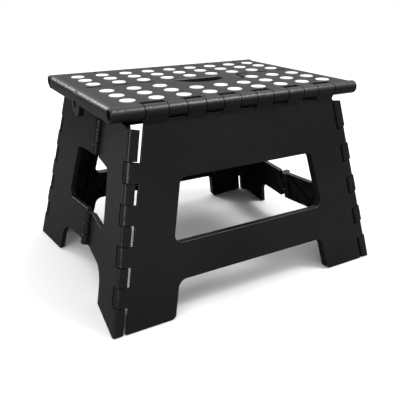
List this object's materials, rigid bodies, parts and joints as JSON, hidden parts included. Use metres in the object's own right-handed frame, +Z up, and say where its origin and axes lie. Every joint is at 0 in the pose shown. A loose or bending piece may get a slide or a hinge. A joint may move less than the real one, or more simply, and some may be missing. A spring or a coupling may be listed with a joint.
{
  "type": "folding step stool",
  "caption": "Low folding step stool: split standing surface with a carry-handle slot and grip dots, leaning leg panels and inward-folding slatted ends.",
  "frame": {"origin": "on the floor, under the middle of the standing surface", "axes": "+X along the long side of the standing surface, -Y to the front half that the handle reaches over, +Z up"},
  "size_m": [0.362, 0.2932, 0.2291],
  "materials": {
    "black_plastic": "satin, fine texture",
    "white_insert": "soft grip",
    "steel_pin": "blackened drawn wire",
    "foot_rubber": "matte"
  },
  "bodies": {
    "top_front": {"top_front_half": "black_plastic", "front_dots": "white_insert", "front_edge_pin": "steel_pin", "left_fold_pin": "steel_pin", "right_fold_pin": "steel_pin"},
    "top_back": {"top_back_half": "black_plastic", "carry_handle": "black_plastic", "back_dots": "white_insert", "back_edge_pin": "steel_pin"},
    "front_leg": {"front_leg_panel": "black_plastic", "front_foot_pads": "foot_rubber", "left_front_corner_pin": "steel_pin", "right_front_corner_pin": "steel_pin"},
    "back_leg": {"back_leg_panel": "black_plastic", "back_foot_pads": "foot_rubber", "left_back_corner_pin": "steel_pin", "right_back_corner_pin": "steel_pin"},
    "right_front_end": {"right_front_leaf": "black_plastic"},
    "left_front_end": {"left_front_leaf": "black_plastic"},
    "right_back_end": {"right_back_leaf": "black_plastic", "right_lower_leaf_pin": "steel_pin", "right_upper_leaf_pin": "steel_pin"},
    "left_back_end": {"left_back_leaf": "black_plastic", "left_lower_leaf_pin": "steel_pin", "left_upper_leaf_pin": "steel_pin"}
  },
  "joints": [
    {"name": "centre_fold", "type": "hinge", "parent": "top_front", "child": "top_back", "pos_m": [0, 0, 0.212], "axis": [-1, 0, 0], "range_deg": [0, 167]},
    {"name": "front_edge_hinge", "type": "hinge", "parent": "top_front", "child": "front_leg", "pos_m": [0, -0.1085, 0.22115], "axis": [-1, 0, 0], "range_deg": [0, 75.18]},
    {"name": "back_edge_hinge", "type": "hinge", "parent": "top_back", "child": "back_leg", "pos_m": [0, 0.1085, 0.22115], "axis": [1, 0, 0], "range_deg": [0, 75.18]},
    {"name": "right_front_corner_hinge", "type": "hinge", "parent": "front_leg", "child": "right_front_end", "pos_m": [0.17558, -0.14124, -0.00216], "axis": [-0.2086, 0.1665, 0.9637], "range_deg": [0, 80.2]},
    {"name": "left_front_corner_hinge", "type": "hinge", "parent": "front_leg", "child": "left_front_end", "pos_m": [-0.17558, -0.14124, -0.00216], "axis": [-0.2086, -0.1665, -0.9637], "range_deg": [0, 80.2]},
    {"name": "right_back_corner_hinge", "type": "hinge", "parent": "back_leg", "child": "right_back_end", "pos_m": [0.17558, 0.14124, -0.00216], "axis": [0.2086, 0.1665, -0.9637], "range_deg": [0, 80.2]},
    {"name": "left_back_corner_hinge", "type": "hinge", "parent": "back_leg", "child": "left_back_end", "pos_m": [-0.17558, 0.14124, -0.00216], "axis": [0.2086, -0.1665, 0.9637], "range_deg": [0, 80.2]}
  ],
  "couplings": [
    {"joint": "front_edge_hinge", "follows": "centre_fold", "ratio": 0.45019},
    {"joint": "back_edge_hinge", "follows": "centre_fold", "ratio": 0.45019},
    {"joint": "right_front_corner_hinge", "follows": "centre_fold", "ratio": 0.48023},
    {"joint": "left_front_corner_hinge", "follows": "centre_fold", "ratio": 0.48023},
    {"joint": "right_back_corner_hinge", "follows": "centre_fold", "ratio": 0.48023},
    {"joint": "left_back_corner_hinge", "follows": "centre_fold", "ratio": 0.48023}
  ]
}
